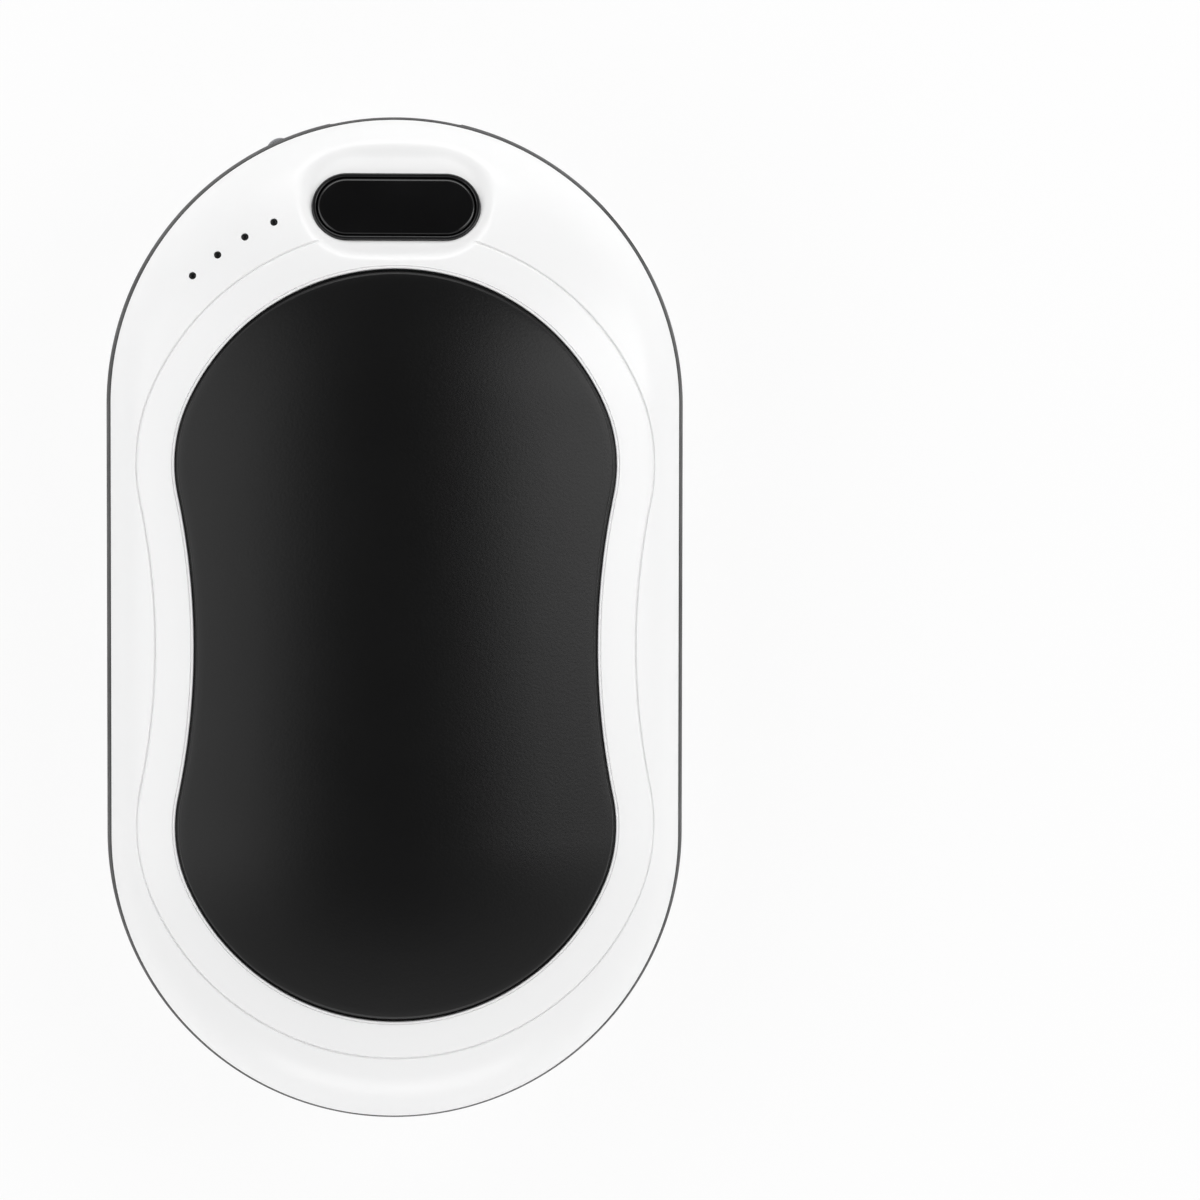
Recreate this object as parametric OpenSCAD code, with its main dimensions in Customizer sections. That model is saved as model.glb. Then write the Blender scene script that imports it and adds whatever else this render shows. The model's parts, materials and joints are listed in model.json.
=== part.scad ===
// Rechargeable hand warmer with a power bank output. It lies on its back heat plate, with its
// width along X, its length along Y and its front face up. A stadium body of two crowned white
// shells is clamped round a black band, and an hourglass heat plate sits in each shell.

/* [Body] */
// Length over the rounded ends, without the socket's cut-out
body_l = 102; // [96:0.5:112]
// Width across the band
body_w = 58.6; // [55:0.2:64]
// Thickness over both crowns
body_t = 30.9; // [29:0.1:34]
// Radius of the shoulder between crown and band
shoulder_r = 9; // [7:0.1:10]
// Lean of the shell's wall where it meets the band, in degrees
wall_lean = 16.8; // [12:0.1:22]
// Wall of the shells
shell_wall = 1.8; // [1.4:0.1:2.2]
// Depth of the flat on which the back plate rests
rest_flat = 0.12; // [0.06:0.01:0.2]

/* [Band] */
// Height of the band that shows between the shells
band_h = 9; // [8:0.1:10]
// How far the crowned band stands beyond the shells
band_proud = 0.65; // [0.3:0.05:0.9]
// Wall of the band at its edges
band_wall = 1.75; // [1.4:0.05:2.1]

/* [Heat plates] */
// From the body's top end to a plate's upper edge
plate_top = 16.4; // [15.8:0.05:17.4]
// From the body's lower end to a plate's lower edge
plate_bottom = 11.7; // [10.8:0.05:12.9]
// From the band's side to a plate's widest place
plate_side = 7.75; // [7.2:0.05:8.6]
// From a plate's edge at an end to its widest place
widest_in = 18.9; // [17.6:0.1:20]
// How far each side draws in at the waist
waist_in = 1.9; // [0.8:0.1:3]
// Radius of the plate's corners
plate_corner_r = 14.1; // [12.6:0.1:15.6]
// Thickness of a plate
plate_t = 1; // [0.7:0.05:1.2]
// How far the plate's side edges stand out of the shell
plate_proud = 0.45; // [0.2:0.05:0.7]
// Dark gap round a plate
plate_gap = 0.4; // [0.2:0.05:0.6]
// Width of the ledge that carries a plate's rim
ledge_w = 4.6; // [3.8:0.1:5.4]

/* [Crease] */
// Distance of the crease from the plate's recess
crease_out = 3.85; // [3:0.05:5]
// Width of the crease
crease_w = 0.3; // [0.2:0.05:0.5]
// Depth of the crease
crease_d = 0.14; // [0.08:0.01:0.25]

/* [Power button] */
// Length of the button with its surround
button_l = 16.7; // [15:0.1:18.4]
// Height of the button with its surround
button_w = 6.9; // [6:0.1:8]
// Tilt of the button's face, in degrees
button_tilt = 14.5; // [10:0.5:18]
// From the body's top end to the middle of the button's face
button_in = 9.65; // [9.3:0.05:10.1]
// Depth of the face's centre under the shell's own surface
button_sink = 1.24; // [1.1:0.01:1.35]
// Wall of the button's surround
surround_wall = 0.4; // [0.3:0.05:0.6]
// Gap between the cap and its surround
cap_gap = 0.1; // [0.06:0.01:0.2]
// Travel of the button
button_travel = 0.4; // [0.25:0.05:0.5]

/* [Indicator lights] */
// Number of lights
light_count = 4; // [2:1:5]
// Radius of a light guide
light_r = 0.33; // [0.25:0.01:0.5]
// Distance of the row of lights from the plate's edge
light_out = 7.6; // [7.2:0.1:8]
// From the length axis to the first light, measured along the row
light_first = 12.45; // [12.1:0.05:13.4]
// From one light to the next, measured along the row
light_step = 3.23; // [2.7:0.05:3.35]

/* [Torch] */
// Diameter of the torch's lamp
torch_d = 3; // [2.6:0.1:3.4]
// How far the lamp's dome stands out of the band
torch_proud = 0.35; // [0.2:0.05:0.7]
// Angle of the lamp from the length axis, in degrees
torch_angle = 24.5; // [22:0.5:30]

/* [Sockets] */
// Width of the output socket's shell
out_w = 13.1; // [12.8:0.1:13.4]
// Height of the output socket's shell
out_h = 5.7; // [5.5:0.1:5.9]
// Depth of the output socket
out_depth = 13.6; // [12.4:0.1:14.4]
// Width of the charging socket's shell
in_w = 7.4; // [7:0.1:7.6]
// Height of the charging socket's shell
in_h = 2.4; // [2.2:0.1:2.6]
// Depth of the charging socket
in_depth = 5; // [4.5:0.1:5.6]
// Angle of the charging socket above the width axis, in degrees
in_angle = 36; // [32:1:42]
// Sheet of the sockets' shells
socket_sheet = 0.3; // [0.2:0.05:0.4]
// Gap between a socket and its cut-out
port_gap = 0.12; // [0.08:0.01:0.2]

/* [Inside] */
// Diameter of a battery cell
cell_d = 18.4; // [18:0.1:18.6]
// From the body's top end to the cells, past the board, which makes them 65 mm long
cell_top = 20.85; // [20.5:0.05:21.8]
// From the body's lower end to the cells
cell_bottom = 16.15; // [15.8:0.05:17.2]
// Thickness of the circuit board
board_t = 1.2; // [1:0.1:1.6]
// Radius of the screws' shanks
screw_r = 0.95; // [0.8:0.05:1.1]
// Length of the screws under the head
screw_l = 12; // [10:0.5:14]
// Distance of each screw from the length axis
screw_x = 4.8; // [4.6:0.05:5]

/* [Hidden] */
$fn = 96;

// One overrun for every cut
cut = 1;
// Overlap by which neighbouring arcs of an outline cross where they would only touch
cross = 0.004;
// Gap that keeps loosely fitted pieces clear of each other
slip = 0.15;
// Gap of a piece that is laid in its seat
seat = 0.05;

function unit(v) = v / norm(v);
// Centre, on the axis, of the arc through (0, top) that a circle at (kx, ky) of radius kr touches
function axis_centre(kx, ky, kr, top) =
    (kx * kx + ky * ky - (top - kr) * (top - kr)) / (2 * (ky - (top - kr)));

// The body's section: a crown arc on the axis and a shoulder arc that ends at the band
straight = body_l - body_w;
end_y = straight / 2;
band_r = body_w / 2;
edge_r = band_r - band_proud;
top_z = body_t / 2;
half_band = band_h / 2;
shoulder_x = edge_r - shoulder_r * cos(wall_lean);
shoulder_z = half_band - shoulder_r * sin(wall_lean);
crown_cz = axis_centre(shoulder_x, shoulder_z, shoulder_r, top_z);
crown_r = top_z - crown_cz;
shoulder_from = shoulder_x * crown_r / (crown_r - shoulder_r);
function crown_z(r) = r < shoulder_from
    ? crown_cz + sqrt(crown_r * crown_r - r * r)
    : shoulder_z + sqrt(shoulder_r * shoulder_r - pow(r - shoulder_x, 2));

// Distance of a place from the stadium's middle line
function end_r_at(x, y) = abs(y) > end_y ? norm([x, abs(y) - end_y]) : abs(x);

// The band's crowned outer face
band_arc_r = (half_band * half_band + band_proud * band_proud) / (2 * band_proud);
band_arc_x = band_r - band_arc_r;
band_in_r = edge_r - band_wall;
function band_x(z) = band_arc_x + sqrt(band_arc_r * band_arc_r - z * z);

// The plate's crown and its hourglass outline
plate_l = body_l - plate_top - plate_bottom;
plate_w = body_w - 2 * plate_side;
plate_side_z = crown_z(plate_w / 2) + plate_proud;
plate_sag = top_z - plate_side_z;
plate_crown_r = (plate_w * plate_w / 4 + plate_sag * plate_sag) / (2 * plate_sag);
plate_cz = top_z - plate_crown_r;
seat_crown_r = plate_crown_r - plate_t;
function plate_z(r, o = 0) = plate_cz + sqrt(pow(plate_crown_r + o, 2) - r * r);
plate_y = (plate_bottom - plate_top) / 2;
corner_x = plate_w / 2 - plate_corner_r;
corner_y = plate_l / 2 - widest_in;
plate_end_y = axis_centre(corner_x, corner_y, plate_corner_r, plate_l / 2);
plate_end_r = plate_l / 2 - plate_end_y;
waist_r = (corner_y * corner_y + pow(plate_corner_r - waist_in, 2) - pow(plate_corner_r, 2))
    / (2 * waist_in);
waist_x = plate_w / 2 - waist_in + waist_r;

// The shells' tongues inside the band, and the bosses that the screws join
tongue_t = 1.1;
tongue_d = 1.2;
tongue_up = 1;
tongue_r = band_in_r - slip;
boss_r = 2;
boss_joint_d = 2;
head_r = 1.5;
head_t = 1.1;
head_room = 0.26;
head_hole_r = head_r + slip;
shank_hole_r = screw_r + slip;
thread_d = 0.12;
thread_gap = 0.02;
core_r = screw_r - thread_d;
pilot_r = core_r + thread_gap;
pilot_over = 1;
screw_in = 1.7;
screw_y = plate_end_y + sqrt(pow(plate_end_r - screw_in, 2) - screw_x * screw_x);
screw_places = [for (sx = [-1, 1], sy = [-1, 1]) [sx * screw_x, plate_y + sy * screw_y]];
head_far_r = end_r_at(screw_x, plate_y - screw_y) + head_r;
head_seat_z = head_t + head_room - plate_z(head_far_r, -plate_t);

// The dish round the button, and depths along the button's own axis under its face
button_y = body_l / 2 - button_in;
button_z = crown_z(band_r - button_in) - button_sink;
dish_margin = 0.35;
dish_up = 1.8;
dish_slant = 45;
floor_d = 0.45;
surround_top_d = 0.1;
surround_foot_d = 1.7;
pan_foot_d = 2.25;
pan_margin = 1;
flange_t = 0.6;
flange_out = 0.3;
cap_wall = 0.9;
cap_bevel = 0.3;
stem_r = 1.4;
cap_l = button_l - 2 * (surround_wall + cap_gap);
cap_w = button_w - 2 * (surround_wall + cap_gap);
flange_top_d = pan_foot_d + cap_gap;
flange_foot_d = flange_top_d + flange_t;

// The board hangs the sockets under it and carries the switch and the lights on top
board_gap = 0.2;
board_z = out_h / 2 + board_gap;
board_top = board_z + board_t;
board_r = band_in_r - 2 * slip;
shelf_w = 1.7;
shelf_t = 1.15;
cell_r = cell_d / 2;
cell_gap = 0.3;
cell_x = cell_r + cell_gap / 2;
cell_l = body_l - cell_top - cell_bottom;
cell_end = cell_l / 2;
cell_y = (cell_bottom - cell_top) / 2;
strip_t = 0.15;
board_y = cell_y + cell_end + strip_t + 2 * slip;
boss_hole_r = boss_r + slip;

// The tactile switch under the button
switch_w = 6;
switch_h = 2.2;
plunger_h = 0.9;
plunger_r = 1.7;
plunger_in = 1.3;
plunger_free = 0.05;
plunger_gap = plunger_free + button_travel * sin(button_tilt);
switch_corner = 0.3;
switch_gap = 0.08;
plunger_top = board_top + switch_h + plunger_h;
switch_y = button_y - (button_z - plunger_top) * tan(button_tilt);

// Lights in a row that keeps its distance from the plate's end arc
led_l = 1.6;
led_w = 0.8;
led_h = 0.6;
light_gap = 0.04;
comb_w = 1.6;
comb_t = 1;
comb_z = board_top + led_h + 2 * slip;
comb_over_angle = 2.5;
light_ring_r = plate_end_r + light_out;
function light_at(a) = [-light_ring_r * sin(a), plate_y + plate_end_y + light_ring_r * cos(a)];
function turn_of(s) = s / light_ring_r * 180 / PI;
light_angles = [for (i = [0:light_count - 1]) turn_of(light_first + i * light_step)];

// Heating films, foam pads, cradle and leads
film_t = 0.25;
film_in = ledge_w + 0.4;
pad_in = ledge_w + 1;
pad_end_cut = 5.2;
cradle_wall = 1.1;
cradle_gap = 0.25;
cradle_r = cell_r + cradle_gap + cradle_wall;
lead_r = 0.42;
sense_r = 0.3;

// Plain outlines

// A stadium, l long over its ends along X and w wide
module pill(l, w) {
    square([l - w, w], center = true);
    for (s = [0, 1]) mirror([s, 0]) translate([(l - w) / 2, 0]) intersection() {
        circle(d = w);
        translate([0, -w]) square([w, 2 * w]);
    }
}

module rounded_rect(l, w, r) {
    square([l - 2 * r, w], center = true);
    square([l, w - 2 * r], center = true);
    for (sx = [-1, 1], sy = [-1, 1])
        translate([sx * (l / 2 - r), sy * (w / 2 - r)]) circle(r = r);
}

// Carries a half section, drawn from the axis at x = 0, round a stadium that is long in Y
module race(length) {
    for (s = [0, 1]) mirror([0, s, 0]) translate([0, length / 2, 0])
        rotate_extrude(angle = 180) children();
    for (s = [0, 1]) mirror([s, 0, 0]) rotate([90, 0, 0])
        linear_extrude(length, center = true) children();
}

// A prism of the hourglass outline grown by o: end, corner and waist arcs, each crossing the next
module plate_prism(o = 0) {
    meet_x = corner_x * (plate_end_r + o) / (plate_end_r - plate_corner_r);
    translate([0, plate_y, 0]) {
        for (s = [0, 1]) mirror([0, s, 0]) intersection() {
            translate([-meet_x, corner_y, 0]) cube([2 * meet_x, plate_l, body_t]);
            translate([0, plate_end_y, 0]) cylinder(r = plate_end_r + o, h = body_t);
        }
        for (m = [-1, 1], n = [-1, 1]) translate([m * corner_x, n * corner_y, 0])
            cylinder(r = plate_corner_r + o + cross, h = body_t);
        difference() {
            linear_extrude(body_t) polygon([[corner_x, corner_y], [waist_x, 0],
                [corner_x, -corner_y], [-corner_x, -corner_y], [-waist_x, 0],
                [-corner_x, corner_y]]);
            for (m = [-1, 1]) translate([m * waist_x, 0, -cut])
                cylinder(r = waist_r - o, h = body_t + 2 * cut, $fn = 360);
        }
    }
}

// Half of the body's section, grown by o and cut off under the height z0
module section(o, z0) {
    intersection() {
        translate([0, z0]) square([edge_r, body_t]);
        union() {
            intersection() {
                translate([0, crown_cz]) circle(r = crown_r + o, $fn = 360);
                square([shoulder_from, body_t]);
            }
            translate([shoulder_x, shoulder_z]) circle(r = shoulder_r + o + cross);
        }
    }
}

// Half of a curved sheet under the plate's crown, from depth a down to depth b
module plate_sheet(a, b) {
    intersection() {
        square([plate_w / 2 + cut, body_t]);
        difference() {
            translate([0, plate_cz]) circle(r = plate_crown_r - a, $fn = 360);
            translate([0, plate_cz]) circle(r = plate_crown_r - b, $fn = 360);
        }
    }
}

// Half of all that lies above the seat of a plate
module above_seat() {
    difference() {
        square([plate_w / 2 + ledge_w, body_t]);
        translate([0, plate_cz]) circle(r = seat_crown_r, $fn = 360);
    }
}

// Moves a piece into the frame: the mid plane's height, and the middle of the length
port_half_h = out_h / 2 + port_gap;
length_lost = band_r - band_x(port_half_h);
module place() {
    translate([0, length_lost / 2, top_z - rest_flat]) children();
}

// The button's own frame: origin at the face's centre, Z out of the face
module on_button() {
    translate([0, button_y, button_z]) rotate([-button_tilt, 0, 0]) children();
}

// A frame on the band: origin on the end arc's axis, Y out through the band at angle a from +Y
module on_band(a) {
    translate([0, end_y, 0]) rotate([0, 0, a]) children();
}

// A round lead in the plane of x along [y, z] points, bent at each inner point
module lead(x, route, r) {
    last = len(route) - 1;
    bend = 2 * r;
    step = [for (i = [0:last - 1]) route[i + 1] - route[i]];
    head = [for (v = step) atan2(v[1], v[0])];
    turn = [for (i = [1:last - 1]) head[i] - head[i - 1]];
    trim = [for (i = [0:last]) i == 0 || i == last ? 0 : bend * tan(abs(turn[i - 1]) / 2)];
    for (i = [0:last - 1]) {
        from = route[i] + trim[i] * unit(step[i]);
        translate([x, from[0], from[1]]) rotate([head[i] - 90, 0, 0])
            cylinder(r = r, h = norm(step[i]) - trim[i] - trim[i + 1]);
    }
    for (i = [1:last - 1]) {
        left = turn[i - 1] > 0;
        aim = unit(step[i - 1]);
        side = left ? [-aim[1], aim[0]] : [aim[1], -aim[0]];
        hub = route[i] - trim[i] * aim + bend * side;
        translate([x, hub[0], hub[1]]) rotate([0, 90, 0])
            rotate([0, 0, head[i - 1] + (left ? 0 : 180 - abs(turn[i - 1]))])
                rotate_extrude(angle = abs(turn[i - 1])) translate([bend, 0]) circle(r = r);
    }
}

// Parts that both shells share, drawn for the front

// A shell that is solid where its children stand, with bosses down to the height joint_z
module shell_body(joint_z) {
    difference() {
        race(straight) section(0, half_band);
        difference() {
            race(straight) section(-shell_wall, half_band - cut);
            screw_columns(boss_r, half_band - 2 * cut, top_z);
            children();
        }
    }
    race(straight) translate([tongue_r - tongue_t, half_band - tongue_d])
        square([tongue_t, tongue_d + tongue_up]);
    screw_columns(boss_r, joint_z, half_band);
}

module screw_columns(r, z0, z1) {
    for (p = screw_places) translate([p[0], p[1], z0]) cylinder(r = r, h = z1 - z0);
}

module plate_recess() {
    intersection() {
        race(straight) above_seat();
        plate_prism(plate_gap);
    }
    plate_prism(-ledge_w);
}

module crease() {
    intersection() {
        difference() {
            plate_prism(plate_gap + crease_out + crease_w / 2);
            plate_prism(plate_gap + crease_out - crease_w / 2);
        }
        race(straight) difference() {
            section(cut, half_band + crease_d);
            section(-crease_d, half_band);
        }
    }
}

// Casing

module front_shell() {
    color("whitesmoke") place() difference() {
        shell_body(-boss_joint_d) button_block(pan_foot_d, dish_l + pan_margin, dish_w + pan_margin);
        plate_recess();
        crease();
        button_dish();
        button_block(surround_foot_d, button_l + 2 * seat, button_w + 2 * seat);
        button_block(pan_foot_d + cut, cap_l + 2 * cap_gap, cap_w + 2 * cap_gap);
        for (a = light_angles) translate([light_at(a)[0], light_at(a)[1], half_band])
            cylinder(r = light_r + light_gap, h = body_t);
        screw_columns(pilot_r, -boss_joint_d - cut, head_seat_z + screw_l + pilot_over);
        board_space();
    }
}

module button_block(foot_d, l, w) {
    on_button() translate([0, 0, -foot_d]) linear_extrude(top_z) pill(l, w);
}

dish_l = button_l + 2 * dish_margin;
dish_w = button_w + 2 * dish_margin + dish_up;

module button_dish() {
    wide = dish_w / 2 + top_z * tan(dish_slant);
    on_button() translate([0, dish_up / 2, -floor_d]) rotate([0, 0, 90])
        race(dish_l - dish_w)
            polygon([[0, 0], [dish_w / 2, 0], [wide, top_z], [0, top_z]]);
}

// Room for the board, where the front shell's tongue would meet it
module board_space() {
    translate([0, end_y, board_z - cut])
        linear_extrude(board_t + cut + seat) intersection() {
            circle(r = band_in_r);
            translate([-band_r, board_y - end_y - slip]) square([2 * band_r, band_r]);
        }
}

module back_shell() {
    color("whitesmoke") place() mirror([0, 0, 1]) difference() {
        shell_body(boss_joint_d);
        plate_recess();
        crease();
        screw_columns(shank_hole_r, boss_joint_d - cut, top_z);
        screw_columns(head_hole_r, -head_seat_z, top_z);
    }
}

module middle_band() {
    color([0.12, 0.12, 0.13]) place() difference() {
        union() {
            race(straight) intersection() {
                translate([band_arc_x, 0]) circle(r = band_arc_r, $fn = 180);
                translate([band_in_r, -half_band]) square([band_wall + band_r, band_h]);
            }
            translate([0, end_y, 0]) rotate_extrude(angle = 180)
                translate([band_in_r - shelf_w, board_z - shelf_t])
                    square([shelf_w + band_wall / 2, shelf_t]);
        }
        on_band(0) out_port_hole(port_gap);
        on_band(in_angle - 90) in_port_hole(port_gap);
        on_band(torch_angle) rotate([-90, 0, 0]) cylinder(r = torch_r + slip / 2, h = 2 * band_r);
        on_band(torch_angle) rotate([-90, 0, 0])
            cylinder(r = torch_rim_r + slip, h = torch_rim_at + torch_rim_t + slip);
    }
}

module out_port_hole(gap) {
    rotate([-90, 0, 0]) linear_extrude(2 * band_r)
        rounded_rect(out_w + 2 * gap, out_h + 2 * gap, out_corner + gap);
}

module in_port_hole(gap) {
    translate([0, 0, in_z]) rotate([-90, 0, 0]) linear_extrude(2 * band_r)
        rounded_rect(in_w + 2 * gap, in_h + 2 * gap, in_corner + gap);
}

// Heating

module heat_plate() {
    intersection() {
        race(straight) plate_sheet(0, plate_t);
        plate_prism();
    }
}

module front_heat_plate() {
    color([0.16, 0.16, 0.17]) place() heat_plate();
}

module back_heat_plate() {
    color([0.16, 0.16, 0.17]) place() mirror([0, 0, 1]) intersection() {
        heat_plate();
        translate([-body_w, -body_l, 0]) cube([2 * body_w, 2 * body_l, top_z - rest_flat]);
    }
}

module heating_film() {
    intersection() {
        race(straight) plate_sheet(plate_t, plate_t + film_t);
        plate_prism(-film_in);
    }
}

module front_heating_film() {
    color("orange") place() heating_film();
}

module back_heating_film() {
    color("orange") place() mirror([0, 0, 1]) heating_film();
}

// A pad that is flat towards the cells at height z0 and follows the film on its other side
module foam_pad(z0) {
    intersection() {
        race(straight) intersection() {
            translate([0, plate_cz]) circle(r = seat_crown_r - film_t, $fn = 360);
            translate([0, z0]) square([plate_w / 2, body_t]);
        }
        plate_prism(-pad_in);
        translate([-body_w, -body_l, 0])
            cube([2 * body_w, body_l + cell_y + cell_end - pad_end_cut, body_t]);
    }
}

module front_foam_pad() {
    color("dimgray") place() foam_pad(cell_r + seat);
}

module back_foam_pad() {
    color("dimgray") place() mirror([0, 0, 1]) foam_pad(cradle_r + seat);
}

sense_off = 1.7;
sense_len = 3;
sense_bead_r = 1;
sense_lead_x = 0.45;
sense_y = cell_y + cell_end - pad_end_cut + slip;
lead_in = 1.4;
lead_up_y = board_y + lead_in;
module heater_thermistor() {
    from_y = sense_y + sense_len;
    z = plate_z(end_r_at(sense_off, from_y), -plate_t - film_t) - sense_bead_r - seat;
    color("darkgreen") place() {
        translate([-sense_off, sense_y, z]) rotate([-90, 0, 0])
            cylinder(r = sense_bead_r, h = sense_len);
        for (s = [-1, 1]) lead(s * sense_lead_x - sense_off, [[from_y, z], [leave_y, z],
            [leave_y, z - heater_drop], [lead_up_y, z - heater_drop], [lead_up_y, board_top]], sense_r);
    }
}

// Battery

module cell(side) {
    nub_r = 3;
    nub_t = 0.1;
    groove_in = 4;
    groove_d = 0.35;
    groove_w = 1.2;
    place() translate([side * cell_x, cell_y, 0]) rotate([90, 0, 0]) difference() {
        cylinder(r = cell_r, h = cell_l, center = true);
        translate([0, 0, -cell_end + groove_in]) difference() {
            cylinder(r = cell_r + cut, h = groove_w, center = true);
            cylinder(r = cell_r - groove_d, h = groove_w + cut, center = true);
        }
        translate([0, 0, -cell_end - nub_t]) difference() {
            cylinder(r = cell_r - cradle_wall, h = 2 * nub_t);
            cylinder(r = nub_r, h = 3 * nub_t);
        }
    }
}

module battery_cell_left() {
    color("royalblue") cell(-1);
}

module battery_cell_right() {
    color("royalblue") cell(1);
}

strip_l = 24;
strip_w = 5.4;
module cell_strip(side) {
    y = cell_y + side * (cell_end + strip_t / 2);
    place() translate([0, y, 0]) cube([strip_l, strip_t, strip_w], center = true);
}

module cell_strip_top() {
    color("silver") cell_strip(1);
}

module cell_strip_bottom() {
    color("silver") cell_strip(-1);
}

// Two open troughs with end walls, notched round the screw bosses
module battery_cradle() {
    wall_y = cell_end + strip_t + slip;
    color("lightgray") place() difference() {
        intersection() {
            translate([0, cell_y, 0]) rotate([90, 0, 0])
                linear_extrude(2 * (wall_y + cradle_wall), center = true) cradle_outline(cradle_r);
            race(straight) translate([0, -body_t]) square([band_in_r - tongue_t - 4 * slip, body_t]);
        }
        translate([0, cell_y, 0]) rotate([90, 0, 0])
            linear_extrude(2 * wall_y, center = true) cradle_cut();
        screw_columns(boss_r + slip, -body_t, body_t);
        for (s = [-1, 1]) translate([0, cell_y + s * wall_y, 0])
            cube([strip_l, 4 * cradle_wall, strip_w + 2 * slip], center = true);
    }
}

module cradle_outline(r) {
    intersection() {
        union() {
            for (s = [-1, 1]) translate([s * cell_x, 0]) circle(r = r);
            translate([-cell_x, -r]) square([2 * cell_x, r]);
        }
        translate([-band_r, -r]) square([2 * band_r, r]);
    }
}

module cradle_cut() {
    for (s = [-1, 1]) translate([s * cell_x, 0]) circle(r = cell_r + cradle_gap);
    translate([-cell_x, -cell_r / 2]) square([2 * cell_x, cell_r]);
    key = cell_x / 2;
    translate([-key, -cradle_r - cut]) square([2 * key, cradle_wall + cut]);
}

minus_z = 6.6;
module battery_leads() {
    low_y = cell_y - cell_end - strip_t;
    color("crimson") place() {
        lead(0, [[low_y - lead_r, 0], [low_y - lead_r, minus_z], [lead_up_y, minus_z],
            [lead_up_y, board_top]], lead_r);
        lead(cell_x, [[cell_y + cell_end + strip_t, 0], [lead_up_y, 0], [lead_up_y, board_z]], lead_r);
    }
}

heater_x = 1.2;
heater_pitch = 0.9;
heater_drop = 2;
heater_grip = 1.8;
leave_y = board_y - lead_in;
module heater_leads() {
    z = plate_z(end_r_at(heater_x, leave_y), -plate_t - film_t) - lead_r - seat;
    color("white") place() for (x = [heater_x, heater_x + heater_pitch]) {
        lead(x, [[leave_y - heater_grip, z], [leave_y, z], [leave_y, z - heater_drop],
            [lead_up_y, z - heater_drop], [lead_up_y, board_top]], lead_r);
        lead(x, [[leave_y - heater_grip, -z], [leave_y, -z], [leave_y, -z + heater_drop],
            [lead_up_y, -z + heater_drop], [lead_up_y, board_z]], lead_r);
    }
}

// Electronics

module circuit_board() {
    color("seagreen") place() difference() {
        translate([0, 0, board_z]) linear_extrude(board_t) intersection() {
            translate([0, end_y]) circle(r = board_r);
            translate([-band_r, board_y]) square([2 * band_r, band_r]);
        }
        screw_columns(boss_hole_r, 0, top_z);
    }
}

// Each chip as [x, y from the board's edge, length, width, height]
chips = [[-11, 4.2, 5, 4, 0.9], [-6.6, 8.4, 2.9, 1.6, 1.1], [8.4, 11.6, 2, 1.25, 1],
    [11.2, 11.6, 2, 1.25, 1], [17, 5.4, 3, 2.6, 1], [-17.4, 2.6, 2, 1.25, 0.9]];
module control_chips() {
    color([0.2, 0.2, 0.22]) place() for (c = chips)
        translate([c[0] - c[2] / 2, board_y + c[1] - c[3] / 2, board_top]) cube([c[2], c[3], c[4]]);
}

coil_w = 6;
coil_h = 3;
coil_place = [11, 6.4];
module boost_inductor() {
    foot_h = 0.5;
    foot_out = 0.2;
    drum_r = coil_w / 2 - foot_out;
    color([0.3, 0.3, 0.32]) place() translate([coil_place[0], board_y + coil_place[1], board_top]) {
        linear_extrude(foot_h) rounded_rect(coil_w, coil_w, foot_h);
        translate([0, 0, foot_h]) cylinder(r = drum_r, h = coil_h - foot_h);
    }
}

module switch_body() {
    color("silver") place() translate([0, switch_y, board_top]) difference() {
        linear_extrude(switch_h) rounded_rect(switch_w, switch_w, switch_corner);
        translate([0, 0, switch_h - plunger_in - button_travel])
            cylinder(r = plunger_r + plunger_gap, h = switch_h);
    }
}

module switch_plunger() {
    color("black") place() translate([0, switch_y, plunger_top - plunger_h - plunger_in])
        cylinder(r = plunger_r, h = plunger_h + plunger_in);
}

module power_button() {
    color([0.08, 0.08, 0.09]) place() difference() {
        on_button() {
            rotate([0, 0, 90]) race(cap_l - cap_w)
                polygon([[0, 0], [cap_w / 2 - cap_bevel, 0], [cap_w / 2, -cap_bevel],
                    [cap_w / 2, -flange_top_d], [cap_w / 2 + flange_out + cap_gap, -flange_top_d],
                    [cap_w / 2 + flange_out + cap_gap, -flange_foot_d],
                    [cap_w / 2 - cap_wall, -flange_foot_d], [cap_w / 2 - cap_wall, -cap_wall],
                    [0, -cap_wall]]);
            translate([0, 0, -top_z]) cylinder(r = stem_r, h = top_z - cap_wall / 2);
        }
        translate([-body_w, 0, plunger_top + switch_gap - 2 * top_z])
            cube([2 * body_w, body_l, 2 * top_z]);
    }
}

module button_surround() {
    color([0.12, 0.12, 0.13]) place() on_button() translate([0, 0, -surround_foot_d])
        linear_extrude(surround_foot_d - surround_top_d) difference() {
            pill(button_l, button_w);
            pill(cap_l + 2 * cap_gap, cap_w + 2 * cap_gap);
        }
}

module indicator_leds() {
    color("gold") place() for (a = light_angles)
        translate([light_at(a)[0], light_at(a)[1], board_top]) rotate([0, 0, a])
            translate([-led_l / 2, -led_w / 2, 0]) cube([led_l, led_w, led_h]);
}

// Clear posts up through the shell, joined by a curved bar over the board
module indicator_light_guide() {
    color([0.9, 0.95, 1]) place() intersection() {
        union() {
            for (a = light_angles)
                translate([light_at(a)[0], light_at(a)[1], comb_z - slip])
                    cylinder(r = light_r, h = top_z);
            first = light_angles[0];
            last = light_angles[light_count - 1];
            translate([0, plate_y + plate_end_y, comb_z])
                rotate([0, 0, 90 + first - comb_over_angle])
                    rotate_extrude(angle = last - first + 2 * comb_over_angle)
                        translate([light_ring_r - comb_w / 2, 0]) square([comb_w, comb_t]);
        }
        race(straight) section(-seat, 0);
    }
}

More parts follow.
